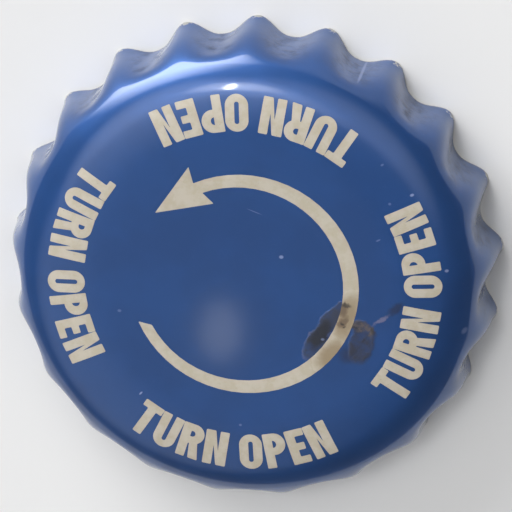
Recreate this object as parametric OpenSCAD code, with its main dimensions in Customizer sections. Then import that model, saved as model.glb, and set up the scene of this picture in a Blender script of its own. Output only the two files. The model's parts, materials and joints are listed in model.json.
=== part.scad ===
// Crown bottle cap: a fluted tinplate shell crimped to shape, with a moulded sealing liner.
// The rim stands on z = 0, the axis is Z and the flat panel faces +Z.

/* [Panel and shoulder] */
// Diameter of the flat middle of the panel
flat_d = 17; // [12:0.1:20]
// Diameter of the whole panel, where the bend begins
panel_d = 22.6; // [21:0.1:28]
// How far the panel's edge dips before the bend begins, in degrees
panel_dip = 6.5; // [3:0.5:10]
// Outside radius of the bend from panel to skirt
shoulder_r = 3.2; // [2.6:0.1:3.6]
// How far the crests bend over before they run straight, in degrees
crest_bend = 70; // [60:1:80]
// Thickness of the tinplate
sheet = 0.24; // [0.18:0.01:0.4]
// Height from the rim to the panel
cap_h = 6; // [5:0.1:8]

/* [Flutes] */
// Number of flutes round the skirt
flute_count = 21; // [15:1:27]
// Angle from +X to the middle of the first valley, in degrees
first_valley = 11.5; // [0:0.5:24]
// How far the panel bends over before the valleys begin, in degrees
valley_bend = 42; // [30:1:50]
// Outside radius of the tighter bend at the top of a valley
valley_turn = 1.2; // [0.5:0.05:1.6]
// How far the crests stand out past the shoulder at the rim
crest_flare = 0.35; // [0.1:0.05:1]
// How far the valleys tuck in from the shoulder's outside at the rim
valley_tuck = 0.69; // [0.4:0.01:0.9]
// How much higher the rim is in a valley than on a crest
valley_lift = 0.15; // [0:0.01:0.4]

/* [Liner] */
// How far the liner reaches out past the panel
liner_reach = 1.1; // [0.5:0.1:1.4]
// Thickness of the liner's web
web_t = 0.35; // [0.2:0.01:0.6]
// Thickness of the liner at its sealing bead
bead_t = 1.05; // [0.8:0.01:1.4]
// Width of the sealing bead
bead_w = 2.6; // [1.6:0.1:3.4]
// Thickness of the liner at its inner ridge
ridge_t = 0.75; // [0.65:0.01:0.95]
// Width of the inner ridge
ridge_w = 0.8; // [0.7:0.1:1.2]
// Groove between the sealing bead and the inner ridge
ridge_gap = 0.9; // [0.5:0.1:2]
// Radius on the lower edges of bead and ridge
bead_round = 0.3; // [0.1:0.05:0.3]
// Gap between the liner's edge and the bend of the shell
liner_gap = 0.05; // [0.02:0.01:0.1]

/* [Hidden] */

flat_r = flat_d / 2;
panel_r = panel_d / 2;
ceiling_z = cap_h - sheet;
// Outside radius of the dipping edge and height of its centre, which lies below the flat's edge
dip_r = (panel_r - flat_r) / sin(panel_dip);
dip_z = cap_h - dip_r;
// Centre of the bend, which carries on smoothly from the dipping edge
bend_mid_r = panel_r - shoulder_r * sin(panel_dip);
bend_mid_z = dip_z + (dip_r - shoulder_r) * cos(panel_dip);
bend_depth = cap_h - bend_mid_z;
shoulder_out = bend_mid_r + shoulder_r;
inner_bend_r = shoulder_r - sheet;

// Outward slopes of the crests and valleys, below their bends and at the rim
crest_top_slope = tan(90 - crest_bend);
crest_rim_slope = 0.2;
valley_top_slope = 0.05;
valley_rim_slope = -0.03;
// Depths below the panel and radii where crests and valleys leave the bend
crest_top = bend_depth - shoulder_r * cos(crest_bend);
crest_top_r = bend_mid_r + shoulder_r * sin(crest_bend);
valley_top = bend_depth - shoulder_r * cos(valley_bend);
valley_top_r = bend_mid_r + shoulder_r * sin(valley_bend);
inner_valley_top = bend_depth - inner_bend_r * cos(valley_bend);
// Depth and radius where a valley's own bend ends
valley_turn_end = 90 - atan(valley_top_slope);
valley_side = valley_top + valley_turn * (cos(valley_bend) - cos(valley_turn_end));
valley_side_r = valley_top_r + valley_turn * (sin(valley_turn_end) - sin(valley_bend));
// The wave round the skirt: 1 is a plain cosine, and above 1 crests are narrower than valleys
wave_top = 1;
wave_rim = 1.3;

// Rows and columns of the shell's surface; a spread above 1 crowds the rows towards the shoulder
dip_rows = 2;
bend_rows = 3;
skirt_rows = 10;
row_spread = 1.6;
flute_steps = 8;
columns = flute_count * flute_steps;
// Small steps for measuring slopes: down the skirt, and in degrees round it
step_d = 0.01;
step_a = 0.1;

liner_r = panel_r + liner_reach;
ridge_out = liner_r - bead_w - ridge_gap;
// Steps along each curve of the room for the liner
room_steps = 12;
$fn = 96;

// Cubic from r0 with slope m0 to r1 with slope m1, while t goes from 0 to 1 over a drop
function blend(r0, m0, r1, m1, drop, t) =
    r0 * (2 * pow(t, 3) - 3 * pow(t, 2) + 1) + r1 * (3 * pow(t, 2) - 2 * pow(t, 3))
    + drop * (m0 * (pow(t, 3) - 2 * pow(t, 2) + t) + m1 * (pow(t, 3) - pow(t, 2)));

// Share of the way from depth top down to the rim
function way_down(d, top) = (d - top) / (cap_h - top);

// Outside radius along the middle of a crest: round the bend, then flaring to the rim
function crest_r(d) =
    d < crest_top
        ? bend_mid_r + sqrt(pow(shoulder_r, 2) - pow(bend_depth - d, 2))
        : blend(crest_top_r, crest_top_slope, shoulder_out + crest_flare, crest_rim_slope,
                cap_h - crest_top, way_down(d, crest_top));

// Outside radius along the middle of a valley, which turns down sooner and tighter
function valley_r(d) =
    let (rise = valley_turn * cos(valley_bend) + valley_top - d)
    d < valley_side
        ? valley_top_r - valley_turn * sin(valley_bend) + sqrt(pow(valley_turn, 2) - pow(rise, 2))
        : blend(valley_side_r, valley_top_slope, shoulder_out - valley_tuck, valley_rim_slope,
                cap_h - valley_side, way_down(d, valley_side));

// 0 in the middle of a valley, 1 on a crest
function crest_share(d, a) =
    pow((1 - cos(flute_count * (a - first_valley))) / 2,
        wave_top + (wave_rim - wave_top) * way_down(d, valley_top));

// Outside radius of the skirt at depth d and angle a
function outer_r(d, a) = valley_r(d) + (crest_r(d) - valley_r(d)) * crest_share(d, a);

// The sheet's thickness measured along the radius, which a sloping wall stretches
function wall_across(d, a) =
    let (down = (outer_r(d + step_d, a) - outer_r(d - step_d, a)) / (2 * step_d),
         arc = outer_r(d, a) * 2 * step_a * PI / 180,
         around = (outer_r(d, a + step_a) - outer_r(d, a - step_a)) / arc)
    sheet * sqrt(1 + pow(down, 2) + pow(around, 2));

function ring_point(r, a, z) = [r * cos(a), r * sin(a), z];

function column_angle(c) = first_valley + c * 360 / columns;

// A ring of the dipping edge, row 0 being the edge of the flat
function dip_ring(radius, row) =
    let (dip = panel_dip * row / dip_rows)
    [for (c = [0 : columns - 1])
        ring_point(flat_r + radius * sin(dip), column_angle(c), dip_z + radius * cos(dip))];

// A ring of the bend, row 0 being the edge of the panel
function bend_ring(radius, row) =
    let (bend = panel_dip + (valley_bend - panel_dip) * row / bend_rows)
    [for (c = [0 : columns - 1])
        ring_point(bend_mid_r + radius * sin(bend), column_angle(c), bend_mid_z + radius * cos(bend))];

// A ring of the skirt, where the rim's rise in the valleys fades out towards the top
function skirt_ring(top, row, inside) =
    [for (c = [0 : columns - 1])
        let (a = column_angle(c),
             t = pow(row / skirt_rows, row_spread),
             d = top + (cap_h - top) * t,
             lift = valley_lift * pow(t, 2) * (1 - crest_share(d, a)),
             r = outer_r(d, a) - (inside ? wall_across(d, a) : 0))
        ring_point(r, a, cap_h - d + lift)];

// Rings from the edge of the flat, down the outside, under the rim and up the inside
shell_rings = concat(
    [for (i = [0 : dip_rows - 1]) dip_ring(dip_r, i)],
    [for (i = [0 : bend_rows]) bend_ring(shoulder_r, i)],
    [for (j = [1 : skirt_rows]) skirt_ring(valley_top, j, false)],
    [for (j = [skirt_rows : -1 : 1]) skirt_ring(inner_valley_top, j, true)],
    [for (i = [bend_rows : -1 : 0]) bend_ring(inner_bend_r, i)],
    [for (i = [dip_rows - 1 : -1 : 0]) dip_ring(dip_r - sheet, i)]);

module crown_shell() {
    last = len(shell_rings) - 1;
    flat_face = [for (c = [columns - 1 : -1 : 0]) c];
    ceiling_face = [for (c = [0 : columns - 1]) last * columns + c];
    wall_faces = [for (i = [0 : last - 1], c = [0 : columns - 1], half = [0, 1])
        let (next = (c + 1) % columns, here = i * columns, below = here + columns)
        half == 0
            ? [here + c, here + next, below + next]
            : [here + c, below + next, below + c]];
    color("#2d4a85")
        polyhedron(
            points = [for (ring = shell_rings, p = ring) p],
            faces = concat([flat_face], wall_faces, [ceiling_face]));
}

// Section of a bead that hangs from the ceiling, with rounded lower edges
module bead_section(inner, outer, thick) {
    low_z = ceiling_z - thick;
    translate([inner, low_z + bead_round])
        square([outer - inner, thick - bead_round]);
    translate([inner + bead_round, low_z])
        square([outer - inner - 2 * bead_round, bead_round]);
    for (r = [inner + bead_round, outer - bead_round])
        translate([r, low_z + bead_round])
            circle(bead_round);
}

// Section of the room for the liner: up to the ceiling, with a gap that opens over the dipping edge
module liner_room() {
    dip_edge = [for (i = [0 : room_steps])
        let (dip = panel_dip * i / room_steps)
        [flat_r + (dip_r - sheet) * sin(dip),
         dip_z + (dip_r - sheet) * cos(dip) - liner_gap * i / room_steps]];
    bend_edge = [for (i = [1 : room_steps])
        let (bend = panel_dip + (90 - panel_dip) * i / room_steps)
        [bend_mid_r + (inner_bend_r - liner_gap) * sin(bend),
         bend_mid_z + (inner_bend_r - liner_gap) * cos(bend)]];
    polygon(concat([[0, 0], [0, ceiling_z]], dip_edge, bend_edge, [[shoulder_out - sheet - liner_gap, 0]]));
}

module sealing_liner() {
    color("#d6d8d3")
        rotate_extrude()
            intersection() {
                union() {
                    translate([0, ceiling_z - web_t])
                        square([liner_r - bead_w / 2, web_t]);
                    bead_section(liner_r - bead_w, liner_r, bead_t);
                    bead_section(ridge_out - ridge_w, ridge_out, ridge_t);
                }
                liner_room();
            }
}

crown_shell();
sealing_liner();
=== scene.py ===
"""A used crown bottle cap: pressed tinplate shell, printed panel and moulded sealing liner."""
import json
import math

import bmesh
import bpy
from bpy.props import FloatProperty, FloatVectorProperty, IntProperty, PointerProperty
from mathutils import Matrix, Vector

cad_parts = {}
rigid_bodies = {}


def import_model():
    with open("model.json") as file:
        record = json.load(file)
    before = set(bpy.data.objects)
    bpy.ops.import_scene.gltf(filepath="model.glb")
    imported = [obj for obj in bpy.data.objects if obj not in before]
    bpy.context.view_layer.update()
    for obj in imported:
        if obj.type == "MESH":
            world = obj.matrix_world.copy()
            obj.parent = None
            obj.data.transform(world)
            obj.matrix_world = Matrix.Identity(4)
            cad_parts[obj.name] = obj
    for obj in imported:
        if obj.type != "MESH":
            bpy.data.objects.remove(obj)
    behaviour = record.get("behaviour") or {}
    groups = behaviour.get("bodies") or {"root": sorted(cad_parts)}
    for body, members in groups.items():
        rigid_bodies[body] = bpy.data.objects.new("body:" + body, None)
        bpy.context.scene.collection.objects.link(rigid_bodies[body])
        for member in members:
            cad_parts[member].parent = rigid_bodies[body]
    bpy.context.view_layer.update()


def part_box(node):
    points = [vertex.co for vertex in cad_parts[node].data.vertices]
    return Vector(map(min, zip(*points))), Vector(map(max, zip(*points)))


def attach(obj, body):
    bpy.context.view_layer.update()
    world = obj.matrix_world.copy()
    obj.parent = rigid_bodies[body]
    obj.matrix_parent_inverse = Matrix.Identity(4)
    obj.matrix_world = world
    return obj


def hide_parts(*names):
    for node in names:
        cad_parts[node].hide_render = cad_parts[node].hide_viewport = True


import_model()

bl_info = {
    "name": "Crown Bottle Cap",
    "version": (1, 0, 0),
    "blender": (4, 5, 0),
    "location": "3D View > Sidebar > Bottle Cap",
    "description": "Makes a used crown cap with its lacquer, print and sealing liner",
    "category": "Object",
}

SHELL_LOW, SHELL_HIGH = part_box("crown_shell")
LINER_LOW, LINER_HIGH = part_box("sealing_liner")
BODY = "root"
MM = 0.001

# Slopes and wave of the fluted skirt, as in the part's own construction
CREST_RIM_SLOPE = 0.2
VALLEY_TOP_SLOPE = 0.05
VALLEY_RIM_SLOPE = -0.03
WAVE_TOP = 1.0
WAVE_RIM = 1.3

# Fineness of the meshes
STEPS_PER_FLUTE = 16
FLAT_RINGS = 4
DIP_ROWS = 8
BEND_ROWS = 10
SKIRT_ROWS = 26
ROW_SPREAD = 1.5
LINER_STEPS = 160
EDGE_ROWS = 10
ARC_DEGREES = 6
CORNER_STEPS = 3
INK_STEP = 0.3 * MM
RIM_STEPS = 2
BEAD_STEPS = 4
# Edges that bend more than these are rounded
RIM_ANGLE = math.radians(55)
BEAD_ANGLE = math.radians(40)
# Points nearer than the first are merged, and an outline's stretch under the second has no direction
MERGE_DISTANCE = 1e-4 * MM
LEAST_STRETCH = 1e-6 * MM

# The printed words and how often they repeat round the panel
WORDS = "TURN OPEN"
WORD_REPEATS = 4

# The photograph's view: tilt from straight above, roll, and the picture's scale at the panel
VIEW_TILT = math.radians(21.8)
VIEW_ROLL = math.radians(23.4)
VIEW_DISTANCE = 350 * MM
PIXELS_PER_MM = 17.3
PICTURE_PIXELS = 512
SENSOR_MM = 36.0
CLIP_START = 10 * MM
# How far the outline's middle lies from the panel's centre, towards the near side
OUTLINE_OFFSET = 1.8 * MM


def linear(hex_colour):
    """Linear RGBA of an sRGB hex colour."""
    parts = [int(hex_colour[i:i + 2], 16) / 255 for i in (1, 3, 5)]
    return tuple(c / 12.92 if c <= 0.04045 else ((c + 0.055) / 1.055) ** 2.4 for c in parts) + (1.0,)


def length(name, description, value):
    """A size in metres, as a property."""
    return FloatProperty(name=name, description=description, default=value, unit="LENGTH", precision=5)


def turn(name, description, degrees):
    """An angle, as a property."""
    return FloatProperty(name=name, description=description, default=math.radians(degrees), unit="ROTATION")


def colour(name, description, hex_colour):
    """A colour, as a property."""
    return FloatVectorProperty(
        name=name, description=description, default=linear(hex_colour), size=4, subtype="COLOR", min=0, max=1)


class ShellSizes(bpy.types.PropertyGroup):
    """Sizes of the pressed shell"""

    height: length("Height", "From the rim to the panel", SHELL_HIGH.z - SHELL_LOW.z)
    flat_diameter: length("Flat diameter", "Across the flat middle of the panel", 17 * MM)
    panel_diameter: length("Panel diameter", "Across the whole panel, where the bend begins", 22.6 * MM)
    panel_dip: turn("Panel dip", "How far the panel's edge dips before the bend begins", 6.5)
    shoulder_radius: length("Shoulder radius", "Outside radius of the bend from panel to skirt", 3.2 * MM)
    sheet: length("Sheet", "Thickness of the tinplate", 0.24 * MM)
    crest_bend: turn("Crest bend", "How far the crests bend over before they run straight", 70)
    valley_bend: turn("Valley bend", "How far the panel bends over before the valleys begin", 42)
    valley_turn: length("Valley turn", "Outside radius of the tighter bend at the top of a valley", 1.2 * MM)
    flute_count: IntProperty(name="Flutes", description="Number of flutes round the skirt", default=21, min=3)
    first_valley: turn("First valley", "Angle from +X to the middle of the first valley", 11.5)
    crest_flare: length("Crest flare", "How far the crests stand out past the shoulder at the rim", 0.35 * MM)
    valley_tuck: length("Valley tuck", "How far the valleys tuck in from the shoulder at the rim", 0.69 * MM)
    valley_lift: length("Valley lift", "How much higher the rim is in a valley than on a crest", 0.15 * MM)
    edge_round: length("Edge rounding", "Rounding of the sheared edge at the rim", 0.03 * MM)


class LinerSizes(bpy.types.PropertyGroup):
    """Sizes of the sealing liner"""

    web: length("Web", "Thickness of the web", 0.35 * MM)
    bead_width: length("Bead width", "Width of the sealing bead", 2.6 * MM)
    ridge_height: length("Ridge height", "Thickness at the inner ridge", 0.75 * MM)
    ridge_width: length("Ridge width", "Width of the inner ridge", 0.8 * MM)
    ridge_gap: length("Ridge gap", "Groove between the bead and the ridge", 0.9 * MM)
    rounding: length("Rounding", "Radius on the moulded edges", 0.15 * MM)


class PrintSizes(bpy.types.PropertyGroup):
    """Sizes of the printed arrow and words"""

    film: length("Film", "How far the ink stands above the lacquer", 0.012 * MM)
    corner: length("Corner", "Rounding of the print's corners", 0.07 * MM)
    arrow_radius: length("Arrow radius", "Outside radius of the arrow's body", 6.72 * MM)
    arrow_hollow: length("Arrow hollow", "Radius of the arrow's hollow side", 5.95 * MM)
    baseline: length("Baseline", "Radius of the circle that the letters stand on", 11.55 * MM)
    letter_height: length("Letter height", "Height of the capitals", 2.22 * MM)
    stem: length("Stem", "Width of an upright stroke", 0.54 * MM)
    bar: length("Bar", "Width of a level stroke", 0.45 * MM)
    letter_gap: length("Letter gap", "Space between letters", 0.15 * MM)
    word_gap: length("Word gap", "Space between words", 0.72 * MM)
    words_turn: turn("Words turn", "Middle of the first words, from +X", -5.5)


class CapColours(bpy.types.PropertyGroup):
    """Colours of the finishes"""

    lacquer: colour("Lacquer", "Blue roller-coated enamel", "#1c4a88")
    lacquer_deep: colour("Deep lacquer", "The enamel where the coat is thicker", "#1a4580")
    lacquer_pale: colour("Pale lacquer", "Dust and fine rubs in the enamel", "#3a5a92")
    ink: colour("Ink", "Cream litho ink", "#bdb6a8")
    ink_warm: colour("Warm ink", "The ink where it lies thinner", "#b5ac9a")
    # Also painted into the valleys of the flutes as shade
    stain_and_valley_shade: colour("Stain", "Dried dirt at its darkest", "#15181f")
    stain_film: colour("Stain film", "Thin grey film of dirt", "#2d3345")
    stain_purple: colour("Purple stain", "Dark film of dirt, with a tinge of purple", "#262a3b")
    rust: colour("Rust", "Brown crust", "#5f544a")
    tan: colour("Tan", "Tan wash of dirt on the ink", "#8b7a5f")
    brown: colour("Brown", "Brown dirt on the ink", "#665646")
    scuff: colour("Scuff", "Pale rubbed enamel", "#7d7a96")
    speck: colour("Speck", "Pale chips and dust", "#93a2cc")
    steel: colour("Steel", "Bare tinplate", "#b9b7b2")
    inner: colour("Inner lacquer", "Clear gold lacquer inside", "#cdc3a6")
    inner_deep: colour("Deep inner lacquer", "The gold lacquer where it is thicker", "#bba97c")
    liner: colour("Liner", "Natural polyethylene", "#d9dad4")
    liner_deep: colour("Deep liner", "Polyethylene where it is thicker", "#d0d2cc")
    liner_pressed: colour("Pressed liner", "Ring that a bottle's lip has pressed", "#b9b5a6")


def settings():
    """The four property groups, kept on the scene."""
    scene = bpy.context.scene
    return scene.cap_shell, scene.cap_liner, scene.cap_print, scene.cap_colours


def keep_piece(name, bm, materials):
    """Turns a bmesh into a piece that rides on the cap, with smooth faces."""
    mesh = bpy.data.meshes.new(name)
    bm.to_mesh(mesh)
    bm.free()
    mesh.shade_smooth()
    for material in materials:
        mesh.materials.append(material)
    piece = bpy.data.objects.new(name, mesh)
    bpy.context.scene.collection.objects.link(piece)
    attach(piece, BODY)
    return piece


def spin_profile(bm, points, steps):
    """Spins (radius, height) points about the axis into a closed surface of revolution."""
    verts = [bm.verts.new((radius, 0, z)) for radius, z in points]
    edges = [bm.edges.new(pair) for pair in zip(verts, verts[1:])]
    bmesh.ops.spin(
        bm, geom=verts + edges, cent=(0, 0, 0), axis=(0, 0, 1), angle=2 * math.pi,
        steps=steps, use_merge=True)
    bmesh.ops.remove_doubles(bm, verts=bm.verts, dist=MERGE_DISTANCE)
    bmesh.ops.recalc_face_normals(bm, faces=bm.faces)


# Shell

def blend(r0, m0, r1, m1, drop, t):
    """Cubic from r0 with slope m0 to r1 with slope m1, while t goes from 0 to 1 over a drop."""
    return (r0 * (2 * t**3 - 3 * t**2 + 1) + r1 * (3 * t**2 - 2 * t**3)
            + drop * (m0 * (t**3 - 2 * t**2 + t) + m1 * (t**3 - t**2)))


class Flutes:
    """The fluted skirt as a function of depth below the panel and angle round the axis."""

    def __init__(self, s):
        self.s = s
        self.flat_r = s.flat_diameter / 2
        self.panel_r = s.panel_diameter / 2
        self.dip_r = (self.panel_r - self.flat_r) / math.sin(s.panel_dip)
        # Middle of the bend, which carries on smoothly from the dipping edge
        self.bend_r = self.panel_r - s.shoulder_radius * math.sin(s.panel_dip)
        self.bend_depth = self.dip_r - (self.dip_r - s.shoulder_radius) * math.cos(s.panel_dip)
        self.shoulder_out = self.bend_r + s.shoulder_radius
        self.crest_top = self.bend_depth - s.shoulder_radius * math.cos(s.crest_bend)
        self.crest_top_r = self.bend_r + s.shoulder_radius * math.sin(s.crest_bend)
        self.valley_top = self.bend_depth - s.shoulder_radius * math.cos(s.valley_bend)
        # Middle of the tighter bend at the top of a valley, and where that bend ends
        self.turn_r = self.bend_r + (s.shoulder_radius - s.valley_turn) * math.sin(s.valley_bend)
        self.turn_depth = self.valley_top + s.valley_turn * math.cos(s.valley_bend)
        turn_end = math.pi / 2 - math.atan(VALLEY_TOP_SLOPE)
        self.valley_side = self.turn_depth - s.valley_turn * math.cos(turn_end)
        self.valley_side_r = self.turn_r + s.valley_turn * math.sin(turn_end)

    def panel_depth(self, radius):
        """How far the panel, its dipping edge or the bend lies below the flat."""
        if radius <= self.flat_r:
            return 0.0
        if radius <= self.panel_r:
            return self.dip_r - math.sqrt(self.dip_r**2 - (radius - self.flat_r)**2)
        return self.bend_depth - math.sqrt(self.s.shoulder_radius**2 - (radius - self.bend_r)**2)

    def crest_radius(self, depth):
        """Radius along a crest: round the bend, then flaring to the rim."""
        s = self.s
        if depth < self.crest_top:
            return self.bend_r + math.sqrt(s.shoulder_radius**2 - (self.bend_depth - depth)**2)
        drop = s.height - self.crest_top
        return blend(
            self.crest_top_r, 1 / math.tan(s.crest_bend), self.shoulder_out + s.crest_flare,
            CREST_RIM_SLOPE, drop, (depth - self.crest_top) / drop)

    def valley_radius(self, depth):
        """Radius along a valley, which turns down sooner and tighter."""
        s = self.s
        if depth < self.valley_side:
            return self.turn_r + math.sqrt(s.valley_turn**2 - (self.turn_depth - depth)**2)
        drop = s.height - self.valley_side
        return blend(
            self.valley_side_r, VALLEY_TOP_SLOPE, self.shoulder_out - s.valley_tuck,
            VALLEY_RIM_SLOPE, drop, (depth - self.valley_side) / drop)

    def way_down(self, depth):
        """Share of the way from the valleys' tops to the rim."""
        return (depth - self.valley_top) / (self.s.height - self.valley_top)

    def crest_share(self, depth, angle):
        """0 in the middle of a valley, 1 on a crest."""
        wave = (1 - math.cos(self.s.flute_count * (angle - self.s.first_valley))) / 2
        return wave ** (WAVE_TOP + (WAVE_RIM - WAVE_TOP) * self.way_down(depth))

    def press(self, point):
        """Moves a point of the plain skirt to its place on the flutes.

        Returns how far in a valley and how far out on a crest's tip it is, each from 0 to 1.
        """
        depth = self.s.height - point.z
        if depth <= self.valley_top:
            return 0.0, 0.0
        share = self.crest_share(depth, math.atan2(point.y, point.x))
        valley = self.valley_radius(depth)
        radius = valley + (self.crest_radius(depth) - valley) * share
        point.xy *= radius / point.xy.length
        down = self.way_down(depth)
        point.z += self.s.valley_lift * down**2 * (1 - share)
        # A valley counts in full from a third of the way down, and a tip only near the rim
        return (1 - share) * min(1.0, 3 * down), share**2 * down**3


class CAP_OT_shell(bpy.types.Operator):
    """Press the fluted shell from one sheet of tinplate"""

    bl_idname = "cap.shell"
    bl_label = "Pressed Shell"

    def execute(self, context):
        s, _, ink, colours = settings()
        flutes = Flutes(s)
        top = SHELL_HIGH.z - ink.film
        # The edge is sheared square to the flared sheet, so its inner side hangs lower by this much
        rim = SHELL_LOW.z + s.sheet * CREST_RIM_SLOPE
        radii = [flutes.flat_r * i / FLAT_RINGS for i in range(FLAT_RINGS)]
        radii += [flutes.flat_r + (flutes.panel_r - flutes.flat_r) * i / DIP_ROWS for i in range(DIP_ROWS)]
        for i in range(BEND_ROWS + 1):
            bend = s.panel_dip + (s.valley_bend - s.panel_dip) * i / BEND_ROWS
            radii.append(flutes.bend_r + s.shoulder_radius * math.sin(bend))
        points = [(radius, top - flutes.panel_depth(radius)) for radius in radii]
        skirt_top = points[-1][1]
        for j in range(1, SKIRT_ROWS + 1):
            z = skirt_top + (rim - skirt_top) * (j / SKIRT_ROWS) ** ROW_SPREAD
            points.append((flutes.crest_radius(SHELL_HIGH.z - z), z))
        bm = bmesh.new()
        spin_profile(bm, points, s.flute_count * STEPS_PER_FLUTE)
        crown = max(bm.faces, key=lambda face: face.calc_center_median().z)
        if crown.normal.z < 0:
            bmesh.ops.reverse_faces(bm, faces=bm.faces)
        valley = bm.verts.layers.float.new("valley")
        crest = bm.verts.layers.float.new("crest")
        for vert in bm.verts:
            vert[valley], vert[crest] = flutes.press(vert.co)
        materials = [blue_lacquer(colours), gold_inner_lacquer(colours), sheared_tinplate(colours)]
        shell = keep_piece("pressed_shell", bm, materials)
        wall = shell.modifiers.new("Sheet", "SOLIDIFY")
        wall.thickness = s.sheet
        wall.offset = -1
        wall.use_even_offset = True
        wall.use_quality_normals = True
        wall.material_offset = 1
        wall.material_offset_rim = 2
        edge = shell.modifiers.new("Sheared edge", "BEVEL")
        edge.width = s.edge_round
        edge.segments = RIM_STEPS
        edge.limit_method = "ANGLE"
        edge.angle_limit = RIM_ANGLE
        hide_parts("crown_shell")
        return {"FINISHED"}


# Liner

class CAP_OT_liner(bpy.types.Operator):
    """Mould the sealing liner under the panel"""

    bl_idname = "cap.liner"
    bl_label = "Moulded Liner"

    def execute(self, context):
        _, n, _, colours = settings()
        radius = LINER_HIGH.x
        ceiling = LINER_HIGH.z
        bead_low = LINER_LOW.z
        web_low = ceiling - n.web
        ridge_out = radius - n.bead_width - n.ridge_gap
        ridge_in = ridge_out - n.ridge_width
        ridge_low = ceiling - n.ridge_height
        corners = [
            (0, web_low), (ridge_in, web_low), (ridge_in, ridge_low), (ridge_out, ridge_low),
            (ridge_out, web_low), (radius - n.bead_width, web_low), (radius - n.bead_width, bead_low),
            (radius, bead_low), *self.upper_edge(radius, ceiling), (0, ceiling)]
        bm = bmesh.new()
        spin_profile(bm, corners, LINER_STEPS)
        sharp = [e for e in bm.edges if e.calc_face_angle(0) > BEAD_ANGLE]
        bmesh.ops.bevel(
            bm, geom=sharp, offset=n.rounding, offset_type="OFFSET", affect="EDGES",
            segments=BEAD_STEPS, profile=0.5, material=-1)
        bmesh.ops.recalc_face_normals(bm, faces=bm.faces)
        liner = keep_piece("moulded_liner", bm, [moulded_polyethylene(colours)])
        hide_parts("sealing_liner")
        return {"FINISHED"}

    def upper_edge(self, radius, ceiling):
        """The liner's top from its rim inwards, under the bend and the dipping edge of the shell."""
        s = bpy.context.scene.cap_shell
        flutes = Flutes(s)
        edge = []
        for i in range(EDGE_ROWS + 1):
            r = radius + (flutes.flat_r - radius) * i / EDGE_ROWS
            if r > flutes.panel_r:
                inner = s.shoulder_radius - s.sheet
                depth = flutes.bend_depth - math.sqrt(inner**2 - (r - flutes.bend_r)**2) - s.sheet
            else:
                depth = flutes.panel_depth(r)
            edge.append((r, ceiling - depth))
        return edge


# Print

def arc(x, y, radius, start, end):
    """Points round a circle from start to end, in degrees."""
    steps = max(2, round(abs(end - start) / ARC_DEGREES))
    angles = [math.radians(start + (end - start) * i / steps) for i in range(steps + 1)]
    return [(x + radius * math.cos(a), y + radius * math.sin(a)) for a in angles]


# Capitals as an outline and its hollows, from width, height and the widths of stems and level bars

def letter_t(w, h, stem, bar):
    left, right = (w - stem) / 2, (w + stem) / 2
    return [[(0, h), (0, h - bar), (left, h - bar), (left, 0),
             (right, 0), (right, h - bar), (w, h - bar), (w, h)]]


def letter_u(w, h, stem, bar):
    outer, inner = w / 2, w / 2 - stem
    return [[(0, h), *arc(w / 2, outer, outer, 180, 360), (w, h), (w - stem, h),
             *arc(w / 2, bar + inner, inner, 360, 180), (stem, h)]]


def bowl(w, h, stem, bar, depth):
    """The hollow in the bowl of a P or an R, whose bowl is depth high."""
    half = depth / 2 - bar
    return [(stem, h - bar), *arc(w - stem - half, h - depth / 2, half, 90, -90), (stem, h - depth + bar)]


def letter_p(w, h, stem, bar):
    depth = 0.62 * h
    outer = depth / 2
    return [[(0, 0), (0, h), *arc(w - outer, h - outer, outer, 90, -90), (stem, h - depth), (stem, 0)],
            bowl(w, h, stem, bar, depth)]


def letter_r(w, h, stem, bar):
    depth = 0.57 * h
    outer = depth / 2
    leg = 1.08 * stem
    crotch = stem + 0.25 * (w - 2 * stem)
    return [[(0, 0), (0, h), *arc(w - outer, h - outer, outer, 90, -55), (w, 0), (w - leg, 0),
             (crotch, h - depth), (stem, h - depth), (stem, 0)],
            bowl(w, h, stem, bar, depth)]


def letter_n(w, h, stem, bar):
    slope = 0.42 * h
    corner = 1.05 * stem
    return [[(0, 0), (0, h), (corner, h), (w - stem, slope), (w - stem, h), (w, h),
             (w, 0), (w - corner, 0), (stem, h - slope), (stem, 0)]]


def letter_o(w, h, stem, bar):
    outer, inner = w / 2, w / 2 - stem
    return [[*arc(w / 2, h - outer, outer, 0, 180), *arc(w / 2, outer, outer, 180, 360)],
            [*arc(w / 2, h - bar - inner, inner, 0, 180), *arc(w / 2, bar + inner, inner, 180, 360)]]


def letter_e(w, h, stem, bar):
    low, high, arm = (h - bar) / 2, (h + bar) / 2, 0.9 * w
    return [[(0, 0), (0, h), (w, h), (w, h - bar), (stem, h - bar), (stem, high), (arm, high),
             (arm, low), (stem, low), (stem, bar), (w, bar), (w, 0)]]


# Each letter's outlines and its width as a share of the letter height
LETTERS = {
    "T": (letter_t, 0.57), "U": (letter_u, 0.60), "R": (letter_r, 0.61), "N": (letter_n, 0.62),
    "O": (letter_o, 0.61), "P": (letter_p, 0.58), "E": (letter_e, 0.50),
}


def round_corners(outline, radius):
    """Rounds the sharp corners of an outline, as ink does when it is pressed."""
    rounded = []
    for before, here, after in zip(outline[-1:] + outline[:-1], outline, outline[1:] + outline[:1]):
        corner, back, ahead = Vector(here), Vector(before) - Vector(here), Vector(after) - Vector(here)
        if min(back.length, ahead.length) < LEAST_STRETCH:
            continue
        if math.pi - back.angle(ahead) < math.radians(2 * ARC_DEGREES):
            rounded.append(corner)
            continue
        cut = min(radius, back.length / 2, ahead.length / 2)
        start, end = corner + back.normalized() * cut, corner + ahead.normalized() * cut
        for i in range(CORNER_STEPS + 1):
            t = i / CORNER_STEPS
            rounded.append(start * (1 - t)**2 + corner * (2 * t * (1 - t)) + end * t**2)
    return rounded


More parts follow.
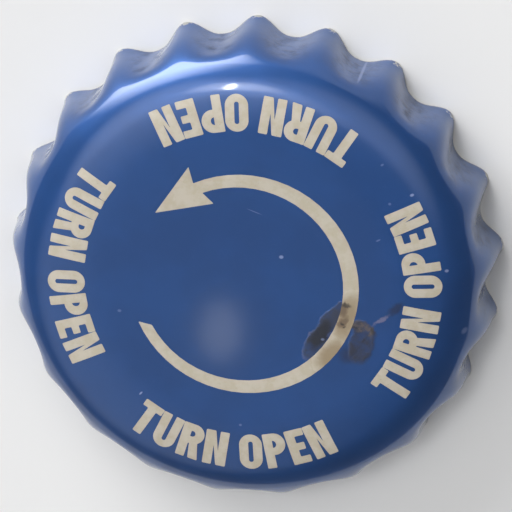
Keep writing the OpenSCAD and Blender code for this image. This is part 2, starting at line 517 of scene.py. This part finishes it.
def lay_ink(name, shapes, colours, ink):
    """Fills shapes, each an outline and its hollows on the panel, and gives them the ink's thickness."""
    flutes = Flutes(bpy.context.scene.cap_shell)
    # The foot of the film lies in the lacquer, so no gap shows under it
    thickness = 1.5 * ink.film
    bm = bmesh.new()
    for outline, *hollows in shapes:
        loop = round_corners(outline, ink.corner)
        # A slit joins each hollow to the outline, and closes again when the doubles are merged
        for hollow in hollows:
            ring = round_corners(hollow, ink.corner)
            loop += [loop[0], ring[0], *ring[:0:-1], ring[0]]
        verts = [bm.verts.new((*point, SHELL_HIGH.z - thickness)) for point in loop]
        edges = [bm.edges.new(pair) for pair in zip(verts, verts[1:] + verts[:1])]
        face = bmesh.ops.contextual_create(bm, geom=edges)["faces"]
        faces = bmesh.ops.triangulate(bm, faces=face, ngon_method="EAR_CLIP")["faces"]
        # Cuts across a letter let it follow the panel's dipping edge
        reach = max(point.length for point in loop)
        if reach > flutes.flat_r:
            out = sum(loop, Vector((0, 0))).normalized().to_3d()
            part = {item for f in faces for item in (f, *f.edges, *f.verts)}
            for i in range(math.ceil((reach - flutes.flat_r) / INK_STEP)):
                part = bmesh.ops.bisect_plane(
                    bm, geom=list(part), dist=MERGE_DISTANCE, plane_co=out * (flutes.flat_r + INK_STEP * i),
                    plane_no=out)["geom"]
    bmesh.ops.remove_doubles(bm, verts=bm.verts, dist=MERGE_DISTANCE)
    raised = bmesh.ops.extrude_face_region(bm, geom=bm.faces[:])
    top = [item for item in raised["geom"] if isinstance(item, bmesh.types.BMVert)]
    bmesh.ops.translate(bm, verts=top, vec=(0, 0, thickness))
    for vert in bm.verts:
        vert.co.z -= flutes.panel_depth(vert.co.xy.length)
    bmesh.ops.recalc_face_normals(bm, faces=bm.faces)
    piece = keep_piece(name, bm, [cream_litho_ink(colours)])
    piece.data.shade_flat()
    return piece


class CAP_OT_arrow(bpy.types.Operator):
    """Print the arrow that shows which way the cap turns"""

    bl_idname = "cap.arrow"
    bl_label = "Printed Arrow"

    # The hollow side's circle lies a little off the axis, so the body thins towards the tail
    HOLLOW_X = -0.14 * MM
    # Where both sides of the body begin and end, in degrees
    OUTER_START, OUTER_END = 201.5, 474.4
    HOLLOW_START, HOLLOW_END = 470.9, 206.5
    # Outer barb, tip and inner barb of the head, in millimetres
    HEAD = ((-3.02, 7.12), (-5.06, 4.27), (-1.62, 4.92))

    def execute(self, context):
        _, _, ink, colours = settings()
        outline = arc(0, 0, ink.arrow_radius, self.OUTER_START, self.OUTER_END)
        outline += [(x * MM, y * MM) for x, y in self.HEAD]
        outline += arc(self.HOLLOW_X, 0, ink.arrow_hollow, self.HOLLOW_START, self.HOLLOW_END)
        lay_ink("arrow_print", [[outline]], colours, ink)
        return {"FINISHED"}


class CAP_OT_words(bpy.types.Operator):
    """Print the opening words round the edge of the panel, each a quarter turn on"""

    bl_idname = "cap.words"
    bl_label = "Printed Words"

    def execute(self, context):
        _, _, ink, colours = settings()
        for repeat in range(WORD_REPEATS):
            middle = ink.words_turn + repeat * 2 * math.pi / WORD_REPEATS
            lay_ink(f"words_print_{repeat + 1}", self.set_line(middle, ink), colours, ink)
        return {"FINISHED"}

    def set_line(self, middle, ink):
        """The line's letters, placed round the panel with their tops towards its centre."""
        height = ink.letter_height
        steps = [LETTERS[c][1] * height if c in LETTERS else ink.word_gap - 2 * ink.letter_gap for c in WORDS]
        run = sum(steps) + ink.letter_gap * (len(steps) - 1)
        along = -run / 2
        shapes = []
        for character, step in zip(WORDS, steps):
            if character in LETTERS:
                angle = middle + (along + step / 2) / (ink.baseline - height / 2)
                outlines = LETTERS[character][0](step, height, ink.stem, ink.bar)
                shapes.append([[self.place(u - step / 2, v, angle, ink) for u, v in outline]
                               for outline in outlines])
            along += step + ink.letter_gap
        return shapes

    def place(self, u, v, angle, ink):
        """A letter's point (along the line, up from its foot) on the panel."""
        out = Vector((math.cos(angle), math.sin(angle)))
        return tuple(out * (ink.baseline - v) + out.orthogonal() * u)


# Materials

def add(tree, kind, options=None, inputs=None):
    """Adds a node, sets its options, and sets or links its inputs."""
    node = tree.nodes.new(kind)
    for name, value in (options or {}).items():
        setattr(node, name, value)
    for name, value in (inputs or {}).items():
        if isinstance(value, bpy.types.NodeSocket):
            tree.links.new(value, node.inputs[name])
        else:
            node.inputs[name].default_value = value
    return node


def new_material(name):
    """An empty material with its output, and the place of each point on the piece."""
    material = bpy.data.materials.get(name)
    if material:
        return material, None, None
    material = bpy.data.materials.new(name)
    material.use_nodes = True
    tree = material.node_tree
    tree.nodes.clear()
    place = add(tree, "ShaderNodeTexCoord").outputs["Object"]
    return material, tree, place


def finish_material(tree, inputs):
    """Closes a material with its shader."""
    shader = add(tree, "ShaderNodeBsdfPrincipled", None, inputs)
    add(tree, "ShaderNodeOutputMaterial", None, {"Surface": shader.outputs["BSDF"]})


# Where the dirt lies on the panel, as ellipses in millimetres: x, y, half length, half width, turn in degrees
INNER_STAIN = ((4.88, -2.22, 1.52, 0.58, 54), (4.10, -3.52, 1.26, 0.62, 62), (5.44, -1.42, 0.60, 0.28, 60))
INNER_CORE = ((4.42, -2.98, 1.45, 0.62, 57),)
OUTER_STAIN = ((6.84, -3.50, 1.46, 0.84, 76), (6.95, -2.62, 0.90, 0.60, -20))
OUTER_FADE = ((6.10, -4.15, 1.00, 0.80, 40),)
OUTER_CRUST = ((6.80, -2.42, 0.95, 0.38, -8), (7.40, -2.72, 0.50, 0.22, 74))
DARK_CRUST = ((6.46, -2.50, 0.26, 0.18, 0), (7.46, -2.62, 0.22, 0.32, 0), (6.95, -3.25, 0.22, 0.14, 60))
PALE_STREAK = ((7.95, -1.95, 0.72, 0.15, 35),)
DARK_SMEAR = ((8.85, -1.28, 0.80, 0.34, 37),)
INK_TAN = ((6.00, -1.90, 2.20, 0.95, 74), (5.00, -4.20, 1.70, 1.00, 52))
INK_BROWN = ((5.76, -1.42, 0.56, 0.38, 76), (5.80, -2.12, 0.60, 0.32, 65))
INK_DARK = ((5.93, -1.13, 0.44, 0.19, 6), (5.75, -2.22, 0.13, 0.12, 0), (5.84, -2.46, 0.16, 0.10, 60))
SPECKS = (
    (2.24, 1.75, 0.17, 0.14, 0), (9.88, 5.67, 0.16, 0.11, 20), (11.80, 1.07, 0.15, 0.12, 0),
    (-6.26, -6.94, 0.17, 0.07, 45))
FAINT_SPECKS = (
    (8.60, 5.14, 0.12, 0.11, 0), (8.20, 7.47, 0.14, 0.09, 30), (6.67, 11.87, 0.13, 0.10, 0),
    (-0.43, -8.74, 0.12, 0.10, 0), (4.54, -3.26, 0.15, 0.11, 0), (7.90, 2.92, 0.20, 0.07, 25),
    (12.70, -2.80, 0.30, 0.20, 60), (0.75, 4.48, 0.60, 0.04, -22), (-7.35, -1.83, 0.16, 0.12, 0))


def spots(tree, place, rows):
    """How deep in any of the spots a point lies: 1 in the middle, 0 on the edge, less outside."""
    deepest = None
    for x, y, half_length, half_width, degrees in rows:
        local = add(tree, "ShaderNodeMapping", {"vector_type": "TEXTURE"}, {
            "Vector": place, "Location": (x * MM, y * MM, 0),
            "Rotation": (0, 0, math.radians(degrees)), "Scale": (half_length * MM, half_width * MM, 1)})
        away = add(tree, "ShaderNodeVectorMath", {"operation": "LENGTH"}, {0: local.outputs[0]})
        inside = add(tree, "ShaderNodeMath", {"operation": "SUBTRACT"}, {0: 1.0, 1: away.outputs["Value"]})
        if deepest:
            inside = add(tree, "ShaderNodeMath", {"operation": "MAXIMUM"}, {0: deepest, 1: inside.outputs[0]})
        deepest = inside.outputs[0]
    return deepest


def step_up(tree, value, low, high, top=1.0):
    """A soft step from 0 below low to top above high."""
    return add(tree, "ShaderNodeMapRange", {"interpolation_type": "SMOOTHSTEP"}, {
        "Value": value, "From Min": low, "From Max": high, "To Max": top}).outputs["Result"]


def coat(tree, under, coats):
    """Lays each (share, colour) over the one before, as dirt lies on lacquer."""
    for share, tint in coats:
        under = add(tree, "ShaderNodeMix", {"data_type": "RGBA"}, {0: share, 6: under, 7: tint}).outputs[2]
    return under


def ragged(tree, place):
    """The place shifted by a fine noise, which frays the edge of a spot as drying dirt does."""
    noise = add(tree, "ShaderNodeTexNoise", None, {
        "Vector": place, "Scale": 1 / (0.8 * MM), "Detail": 6.0, "Roughness": 0.68})
    centred = add(tree, "ShaderNodeVectorMath", {"operation": "SUBTRACT"}, {
        0: noise.outputs["Color"], 1: (0.5, 0.5, 0.5)})
    return add(tree, "ShaderNodeVectorMath", {"operation": "MULTIPLY_ADD"}, {
        0: centred.outputs[0], 1: (0.7 * MM, 0.7 * MM, 0), 2: place}).outputs[0]


def panel_dirt(tree, place, dirt_noise, mottle, colours):
    """Dried dirt and chips on the panel: (share, colour) coats from the lowest up, and its two films."""
    frayed = ragged(tree, place)
    # Dirt lies thicker in some places than in others
    patchy = add(tree, "ShaderNodeMath", {"operation": "ADD"}, {
        0: step_up(tree, dirt_noise, 0.35, 0.65, 0.4), 1: 0.58}).outputs[0]
    inner = spots(tree, frayed, INNER_STAIN)
    inner_film = add(tree, "ShaderNodeMath", {"operation": "MULTIPLY"}, {
        0: step_up(tree, inner, 0.0, 0.3), 1: patchy}).outputs[0]
    # Dirt that dries leaves a paler line round its edge, here broken by the noise
    inner_rim = add(tree, "ShaderNodeMath", {"operation": "MULTIPLY"}, {
        0: step_up(tree, inner, -0.03, 0.06), 1: step_up(tree, inner, 0.24, 0.08)}).outputs[0]
    inner_rim = add(tree, "ShaderNodeMath", {"operation": "MULTIPLY"}, {
        0: inner_rim, 1: step_up(tree, dirt_noise, 0.45, 0.7, 0.35)}).outputs[0]
    inner_core = step_up(tree, spots(tree, frayed, INNER_CORE), 0.0, 0.6, 0.8)
    outer_fade = step_up(tree, spots(tree, frayed, OUTER_FADE), 0.0, 0.8, 0.6)
    outer_film = add(tree, "ShaderNodeMath", {"operation": "MULTIPLY"}, {
        0: step_up(tree, spots(tree, frayed, OUTER_STAIN), 0.0, 0.3), 1: patchy}).outputs[0]
    # The crust is crumbly, so the film shows between its grains
    grains = add(tree, "ShaderNodeMath", {"operation": "ADD"}, {
        0: step_up(tree, mottle, 0.4, 0.6, 0.65), 1: 0.3}).outputs[0]
    crust = add(tree, "ShaderNodeMath", {"operation": "MULTIPLY"}, {
        0: step_up(tree, spots(tree, frayed, OUTER_CRUST), 0.0, 0.6, 0.8), 1: grains}).outputs[0]
    dark_crust = step_up(tree, spots(tree, frayed, DARK_CRUST), 0.0, 0.8, 0.6)
    smear = step_up(tree, spots(tree, frayed, DARK_SMEAR), 0.0, 0.7, 0.62)
    streak = step_up(tree, spots(tree, frayed, PALE_STREAK), 0.0, 0.7, 0.7)
    faint_specks = step_up(tree, spots(tree, place, FAINT_SPECKS), 0.0, 0.7, 0.35)
    specks = step_up(tree, spots(tree, place, SPECKS), 0.0, 0.6, 0.85)
    coats = (
        (inner_film, colours.stain_film), (inner_core, colours.stain_and_valley_shade), (inner_rim, colours.scuff),
        (outer_fade, colours.stain_purple), (outer_film, colours.stain_purple), (crust, colours.rust),
        (dark_crust, colours.stain_and_valley_shade), (smear, colours.stain_purple), (streak, colours.scuff),
        (faint_specks, colours.speck), (specks, colours.speck))
    return coats, inner_film, outer_film


# Share of the bright metal that shows through clean lacquer
METAL_SHOWS = 0.55
# Roughness of clean lacquer, and what dirt and unevenness add to it
LACQUER_ROUGHNESS = 0.38
DIRT_ROUGHNESS = 0.2
MOTTLE_ROUGHNESS = 0.08


def blue_lacquer(colours):
    """Tinplate roller-coated with translucent blue lacquer and stoved.

    The bright metal shows through the blue, so it lightens towards the light and darkens away
    from it, under a smooth gloss with a faint waviness. Dried dirt dulls it, painted shade darkens
    the valleys of the flutes in patches, and the tips of the flutes are rubbed bare.
    """
    material, tree, place = new_material("tinplate_blue_lacquer_roller_coated")
    if not tree:
        return material
    # Slow drift in the coat's thickness, over about 5 mm
    drift = add(tree, "ShaderNodeTexNoise", None, {
        "Vector": place, "Scale": 1 / (5 * MM), "Detail": 3.0, "Roughness": 0.55}).outputs["Fac"]
    # Specks of dust and unevenness under the coat, 0.3 mm, coarser than life so that they show
    mottle = add(tree, "ShaderNodeTexNoise", None, {
        "Vector": place, "Scale": 1 / (0.3 * MM), "Detail": 5.0, "Roughness": 0.7}).outputs["Fac"]
    # Patches of dirt, about 0.8 mm
    dirt_noise = add(tree, "ShaderNodeTexNoise", None, {
        "Vector": place, "Scale": 1 / (0.8 * MM), "Detail": 5.0, "Roughness": 0.65}).outputs["Fac"]
    dirt, inner_film, outer_film = panel_dirt(tree, place, dirt_noise, mottle, colours)
    valley = add(tree, "ShaderNodeAttribute", {"attribute_name": "valley"}).outputs["Fac"]
    crest = add(tree, "ShaderNodeAttribute", {"attribute_name": "crest"}).outputs["Fac"]
    # Painted shade: the darkest stain colour laid in patches down the valleys of the flutes, where shade
    # falls
    grime = add(tree, "ShaderNodeMath", {"operation": "MULTIPLY"}, {
        0: valley, 1: step_up(tree, dirt_noise, 0.38, 0.72, 0.7)}).outputs[0]
    worn = add(tree, "ShaderNodeMath", {"operation": "MULTIPLY_ADD"}, {
        0: mottle, 1: 0.9, 2: crest}).outputs[0]
    bare = step_up(tree, worn, 1.22, 1.34)
    base = add(tree, "ShaderNodeMix", {"data_type": "RGBA"}, {
        0: step_up(tree, drift, 0.35, 0.65), 6: colours.lacquer_deep, 7: colours.lacquer}).outputs[2]
    base = coat(tree, base, (
        (step_up(tree, mottle, 0.58, 0.8, 0.25), colours.lacquer_pale), (grime, colours.stain_and_valley_shade),
        *dirt, (bare, colours.steel)))
    # Dirt films and the painted valley shade raise the roughness and take away the metal and the coat
    dull = add(tree, "ShaderNodeMath", {"operation": "MAXIMUM"}, {0: inner_film, 1: outer_film}).outputs[0]
    dull = add(tree, "ShaderNodeMath", {"operation": "MAXIMUM"}, {0: dull, 1: grime}).outputs[0]
    clean = add(tree, "ShaderNodeMath", {"operation": "SUBTRACT"}, {0: 1.0, 1: dull}).outputs[0]
    metal = add(tree, "ShaderNodeMath", {"operation": "MULTIPLY"}, {0: clean, 1: METAL_SHOWS}).outputs[0]
    metal = add(tree, "ShaderNodeMath", {"operation": "MAXIMUM"}, {0: metal, 1: bare}).outputs[0]
    varnish = add(tree, "ShaderNodeMath", {"operation": "SUBTRACT"}, {0: clean, 1: bare}).outputs[0]
    rough = add(tree, "ShaderNodeMath", {"operation": "MULTIPLY_ADD"}, {
        0: dull, 1: DIRT_ROUGHNESS, 2: LACQUER_ROUGHNESS}).outputs[0]
    rough = add(tree, "ShaderNodeMath", {"operation": "MULTIPLY_ADD"}, {
        0: mottle, 1: MOTTLE_ROUGHNESS, 2: rough}).outputs[0]
    # Orange peel of a roller coat, about 1.2 mm from wave to wave
    peel = add(tree, "ShaderNodeTexNoise", None, {
        "Vector": place, "Scale": 1 / (1.2 * MM), "Detail": 2.0, "Roughness": 0.5}).outputs["Fac"]
    peel_bump = add(tree, "ShaderNodeBump", None, {
        "Height": peel, "Strength": 0.2, "Distance": 0.004 * MM}).outputs[0]
    raised = add(tree, "ShaderNodeMath", {"operation": "MULTIPLY"}, {0: dull, 1: dirt_noise}).outputs[0]
    bump = add(tree, "ShaderNodeBump", None, {
        "Height": raised, "Strength": 0.6, "Distance": 0.05 * MM, "Normal": peel_bump}).outputs[0]
    finish_material(tree, {
        "Base Color": base, "Roughness": rough, "Metallic": metal, "Normal": bump,
        "Coat Weight": varnish, "Coat Roughness": 0.05, "Coat Normal": bump})
    return material


def cream_litho_ink(colours):
    """Cream litho ink, pressed on by a blanket and varnished.

    It is opaque with a soft gloss, a little uneven in tone, and stained tan and brown by dried dirt.
    """
    material, tree, place = new_material("cream_ink_litho_printed")
    if not tree:
        return material
    frayed = ragged(tree, place)
    # Tone drifts over about 0.7 mm, from the blanket's uneven pressure
    tone = add(tree, "ShaderNodeTexNoise", None, {
        "Vector": place, "Scale": 1 / (0.7 * MM), "Detail": 4.0, "Roughness": 0.6}).outputs["Fac"]
    # Pinholes of about 0.1 mm
    pinholes = add(tree, "ShaderNodeTexNoise", None, {
        "Vector": place, "Scale": 1 / (0.1 * MM), "Detail": 2.0, "Roughness": 0.5}).outputs["Fac"]
    tan = step_up(tree, spots(tree, frayed, INK_TAN), 0.0, 0.7, 0.9)
    brown = step_up(tree, spots(tree, frayed, INK_BROWN), 0.0, 0.6, 0.92)
    dark = step_up(tree, spots(tree, frayed, INK_DARK), 0.0, 0.8, 0.75)
    base = add(tree, "ShaderNodeMix", {"data_type": "RGBA"}, {
        0: step_up(tree, tone, 0.35, 0.65), 6: colours.ink_warm, 7: colours.ink}).outputs[2]
    base = coat(tree, base, (
        (step_up(tree, pinholes, 0.68, 0.8, 0.3), colours.stain_film), (tan, colours.tan),
        (brown, colours.brown), (dark, colours.stain_and_valley_shade)))
    dull = add(tree, "ShaderNodeMath", {"operation": "MULTIPLY_ADD"}, {0: tan, 1: 0.35, 2: 0.2}).outputs[0]
    rough = add(tree, "ShaderNodeMath", {"operation": "MULTIPLY_ADD"}, {0: tone, 1: 0.08, 2: dull}).outputs[0]
    bump = add(tree, "ShaderNodeBump", None, {
        "Height": tone, "Strength": 0.4, "Distance": 0.01 * MM}).outputs[0]
    finish_material(tree, {"Base Color": base, "Roughness": rough, "Normal": bump, "IOR": 1.5})
    return material


def gold_inner_lacquer(colours):
    """Cold-rolled tinplate under clear gold lacquer: a warm metal with fine rolling lines along X."""
    material, tree, place = new_material("tinplate_rolled_gold_lacquered")
    if not tree:
        return material
    # Rolling lines 0.06 mm apart and about 5 mm long
    along = add(tree, "ShaderNodeMapping", None, {
        "Vector": place, "Scale": (1 / (5 * MM), 1 / (0.06 * MM), 1 / (5 * MM))}).outputs[0]
    lines = add(tree, "ShaderNodeTexNoise", None, {
        "Vector": along, "Scale": 1.0, "Detail": 3.0, "Roughness": 0.6}).outputs["Fac"]
    blotch = add(tree, "ShaderNodeTexNoise", None, {
        "Vector": place, "Scale": 1 / (2.5 * MM), "Detail": 4.0, "Roughness": 0.6}).outputs["Fac"]
    base = add(tree, "ShaderNodeMix", {"data_type": "RGBA"}, {
        0: step_up(tree, blotch, 0.35, 0.7), 6: colours.inner, 7: colours.inner_deep}).outputs[2]
    rough = add(tree, "ShaderNodeMath", {"operation": "MULTIPLY_ADD"}, {0: lines, 1: 0.2, 2: 0.25}).outputs[0]
    bump = add(tree, "ShaderNodeBump", None, {
        "Height": lines, "Strength": 0.25, "Distance": 0.004 * MM}).outputs[0]
    finish_material(tree, {"Base Color": base, "Metallic": 0.92, "Roughness": rough, "Normal": bump})
    return material


def sheared_tinplate(colours):
    """The sheared edge of the sheet: bare grey steel with fine tear marks and first specks of rust."""
    material, tree, place = new_material("tinplate_sheared")
    if not tree:
        return material
    tear = add(tree, "ShaderNodeTexNoise", None, {
        "Vector": place, "Scale": 1 / (0.06 * MM), "Detail": 3.0, "Roughness": 0.6}).outputs["Fac"]
    rusting = add(tree, "ShaderNodeTexNoise", None, {
        "Vector": place, "Scale": 1 / (0.7 * MM), "Detail": 5.0, "Roughness": 0.65}).outputs["Fac"]
    rust = step_up(tree, rusting, 0.56, 0.68, 0.8)
    base = coat(tree, colours.steel, ((rust, colours.rust),))
    rough = add(tree, "ShaderNodeMath", {"operation": "MULTIPLY_ADD"}, {0: tear, 1: 0.3, 2: 0.28}).outputs[0]
    bump = add(tree, "ShaderNodeBump", None, {
        "Height": tear, "Strength": 0.4, "Distance": 0.01 * MM}).outputs[0]
    bright = add(tree, "ShaderNodeMath", {"operation": "SUBTRACT"}, {0: 1.0, 1: rust}).outputs[0]
    finish_material(tree, {"Base Color": base, "Metallic": bright, "Roughness": rough, "Normal": bump})
    return material


def moulded_polyethylene(colours):
    """Natural polyethylene moulded in place by a turned punch.

    It is waxy and milky, with the punch's fine rings, and a bottle's lip has left a shiny ring on the bead.
    """
    material, tree, place = new_material("polyethylene_moulded")
    if not tree:
        return material
    cloud = add(tree, "ShaderNodeTexNoise", None, {
        "Vector": place, "Scale": 1 / (3 * MM), "Detail": 4.0, "Roughness": 0.6}).outputs["Fac"]
    # Turning rings 0.35 mm apart; a wave has 20 times its scale to the radian
    rings = add(tree, "ShaderNodeTexWave", {"wave_type": "RINGS", "rings_direction": "Z"}, {
        "Vector": place, "Scale": 2 * math.pi / (20 * 0.35 * MM), "Distortion": 0.4}).outputs["Fac"]
    level = add(tree, "ShaderNodeMapping", None, {"Vector": place, "Scale": (1, 1, 0)}).outputs[0]
    radius = add(tree, "ShaderNodeVectorMath", {"operation": "LENGTH"}, {0: level}).outputs["Value"]
    # The lip presses a ring about 1.2 mm wide at 11 mm from the axis
    off_ring = add(tree, "ShaderNodeMath", {"operation": "SUBTRACT"}, {0: radius, 1: 11 * MM}).outputs[0]
    off_ring = add(tree, "ShaderNodeMath", {"operation": "ABSOLUTE"}, {0: off_ring}).outputs[0]
    pressed = step_up(tree, off_ring, 0.65 * MM, 0.45 * MM)
    base = add(tree, "ShaderNodeMix", {"data_type": "RGBA"}, {
        0: step_up(tree, cloud, 0.35, 0.7), 6: colours.liner, 7: colours.liner_deep}).outputs[2]
    base = coat(tree, base, (
        (add(tree, "ShaderNodeMath", {"operation": "MULTIPLY"}, {0: pressed, 1: 0.35}).outputs[0],
         colours.liner_pressed),))
    rough = add(tree, "ShaderNodeMath", {"operation": "MULTIPLY_ADD"}, {
        0: pressed, 1: -0.14, 2: 0.44}).outputs[0]
    bump = add(tree, "ShaderNodeBump", None, {
        "Height": rings, "Strength": 0.3, "Distance": 0.01 * MM}).outputs[0]
    finish_material(tree, {"Base Color": base, "Roughness": rough, "Normal": bump, "IOR": 1.51})
    return material


# Stage

# A dim room, and its soft lights: azimuth from +X towards +Y, elevation, how far from its middle
# each is full and how far it is gone, all in degrees, and its strength
ROOM_LEVEL = 0.13
ROOM_LIGHTS = (
    (122, 8, 8, 34, 11), (65, 2, 6, 26, 0.8), (148, 67, 6, 30, 1.9), (50, 66, 8, 34, 0.9),
    (118, 69, 2, 11, 4), (228, 44, 6, 32, 0.65))
# The floor reaches this far in metres from its middle to each side, and has this tone of grey
FLOOR_REACH = 1.5
FLOOR_TONE = 0.8


def towards(azimuth, elevation):
    """Direction from the cap, with both angles in degrees."""
    a, e = math.radians(azimuth), math.radians(elevation)
    return Vector((math.cos(a) * math.cos(e), math.sin(a) * math.cos(e), math.sin(e)))


def lamp(name, direction, distance, width, depth, watts):
    """An oval lamp aimed at the cap, with its sizes in metres and its depth lying along Y."""
    data = bpy.data.lights.new(name, "AREA")
    data.shape = "ELLIPSE"
    data.size = width
    data.size_y = depth
    data.energy = watts
    light = bpy.data.objects.new(name, data)
    across = Vector((0, 1, 0)).cross(direction).normalized()
    along = direction.cross(across)
    light.matrix_world = Matrix.Translation(direction * distance) @ Matrix(
        (across, along, direction)).transposed().to_4x4()
    bpy.context.scene.collection.objects.link(light)
    return light


class CAP_OT_stage(bpy.types.Operator):
    """Set the floor, the light and the camera"""

    bl_idname = "cap.stage"
    bl_label = "Stage"

    def execute(self, context):
        self.light_underside(context.scene)
        self.lay_floor()
        self.light_room(context.scene)
        lamp("ceiling_lamp", towards(118.5, 68.5), distance=0.6, width=0.026, depth=0.135, watts=0.19)
        lamp("far_lamp", towards(246.5, 67.3), distance=0.36, width=0.0048, depth=0.007, watts=0.00018)
        self.set_camera(context.scene)
        context.scene.view_settings.view_transform = "Standard"
        return {"FINISHED"}

    def light_underside(self, scene):
        """A soft lamp under the floor, which lights only the cap and isn't stopped by the floor.

        The lacquer doesn't mirror it, so that the skirt looks as it does on a plain floor.
        """
        pieces = bpy.data.collections.new("cap_pieces")
        for piece in scene.objects:
            if piece.type == "MESH":
                pieces.objects.link(piece)
        light = lamp("under_lamp", towards(0, -90), distance=0.4, width=0.1, depth=0.1, watts=0.9)
        light.visible_glossy = False
        light.light_linking.receiver_collection = pieces
        light.light_linking.blocker_collection = pieces

    def light_room(self, scene):
        """A dim room with one bright side and a soft glow overhead, without hard edges."""
        world = bpy.data.worlds.new("soft_room")
        world.use_nodes = True
        tree = world.node_tree
        tree.nodes.clear()
        way = add(tree, "ShaderNodeTexCoord").outputs["Generated"]
        level = ROOM_LEVEL
        for azimuth, elevation, full, gone, strength in ROOM_LIGHTS:
            facing = add(tree, "ShaderNodeVectorMath", {"operation": "DOT_PRODUCT"}, {
                0: way, 1: towards(azimuth, elevation)}).outputs["Value"]
            glow = step_up(
                tree, facing, math.cos(math.radians(gone)), math.cos(math.radians(full)), strength)
            level = add(tree, "ShaderNodeMath", {"operation": "ADD"}, {0: level, 1: glow}).outputs[0]
        room = add(tree, "ShaderNodeBackground", None, {"Color": (1, 1, 1, 1), "Strength": level})
        add(tree, "ShaderNodeOutputWorld", None, {"Surface": room.outputs[0]})
        scene.world = world

    def lay_floor(self):
        """A sheet of pale paper that can be looked through from below."""
        bm = bmesh.new()
        bmesh.ops.create_grid(bm, x_segments=1, y_segments=1, size=FLOOR_REACH)
        mesh = bpy.data.meshes.new("floor")
        bm.to_mesh(mesh)
        bm.free()
        material, tree, _ = new_material("paper_floor")
        paper = add(tree, "ShaderNodeBsdfDiffuse", None, {"Color": (*[FLOOR_TONE] * 3, 1)})
        clear = add(tree, "ShaderNodeBsdfTransparent")
        below = add(tree, "ShaderNodeNewGeometry").outputs["Backfacing"]
        sides = add(tree, "ShaderNodeMixShader", None, {0: below, 1: paper.outputs[0], 2: clear.outputs[0]})
        add(tree, "ShaderNodeOutputMaterial", None, {"Surface": sides.outputs[0]})
        mesh.materials.append(material)
        floor = bpy.data.objects.new("floor", mesh)
        bpy.context.scene.collection.objects.link(floor)

    def set_camera(self, scene):
        """The photograph's view, with the whole outline of the cap in the middle."""
        near = Vector((math.sin(VIEW_ROLL), math.cos(VIEW_ROLL), 0))
        across = Vector((math.cos(VIEW_ROLL), -math.sin(VIEW_ROLL), 0))
        up_axis = Vector((0, 0, 1))
        back = near * math.sin(VIEW_TILT) + up_axis * math.cos(VIEW_TILT)
        rise = near * math.cos(VIEW_TILT) - up_axis * math.sin(VIEW_TILT)
        right = across * math.cos(VIEW_ROLL) + rise * math.sin(VIEW_ROLL)
        up = rise * math.cos(VIEW_ROLL) - across * math.sin(VIEW_ROLL)
        data = bpy.data.cameras.new("camera")
        data.sensor_width = SENSOR_MM
        data.lens = SENSOR_MM * PIXELS_PER_MM * VIEW_DISTANCE / MM / PICTURE_PIXELS
        data.clip_start = CLIP_START
        camera = bpy.data.objects.new("camera", data)
        aim = Vector((0, 0, SHELL_HIGH.z)) + rise * OUTLINE_OFFSET
        camera.matrix_world = Matrix.Translation(aim + back * VIEW_DISTANCE) @ Matrix(
            (right, up, back)).transposed().to_4x4()
        scene.collection.objects.link(camera)
        scene.camera = camera


class CAP_PT_sidebar(bpy.types.Panel):
    """Sizes, colours and steps of the cap"""

    bl_idname = "CAP_PT_sidebar"
    bl_label = "Bottle Cap"
    bl_space_type = "VIEW_3D"
    bl_region_type = "UI"
    bl_category = "Bottle Cap"

    def draw(self, context):
        for group in settings():
            box = self.layout.box()
            for name in group.__annotations__:
                box.prop(group, name)
        for step in STEPS:
            self.layout.operator(step.bl_idname)


GROUPS = {
    "cap_shell": ShellSizes, "cap_liner": LinerSizes, "cap_print": PrintSizes, "cap_colours": CapColours}
STEPS = (CAP_OT_shell, CAP_OT_liner, CAP_OT_arrow, CAP_OT_words, CAP_OT_stage)
CLASSES = (*GROUPS.values(), *STEPS, CAP_PT_sidebar)


def register():
    for item in CLASSES:
        bpy.utils.register_class(item)
    for name, group in GROUPS.items():
        setattr(bpy.types.Scene, name, PointerProperty(type=group))


def unregister():
    for name in GROUPS:
        delattr(bpy.types.Scene, name)
    for item in reversed(CLASSES):
        bpy.utils.unregister_class(item)


def main():
    register()
    bpy.ops.cap.shell()
    bpy.ops.cap.liner()
    bpy.ops.cap.arrow()
    bpy.ops.cap.words()
    bpy.ops.cap.stage()


if __name__ == "__main__":
    main()
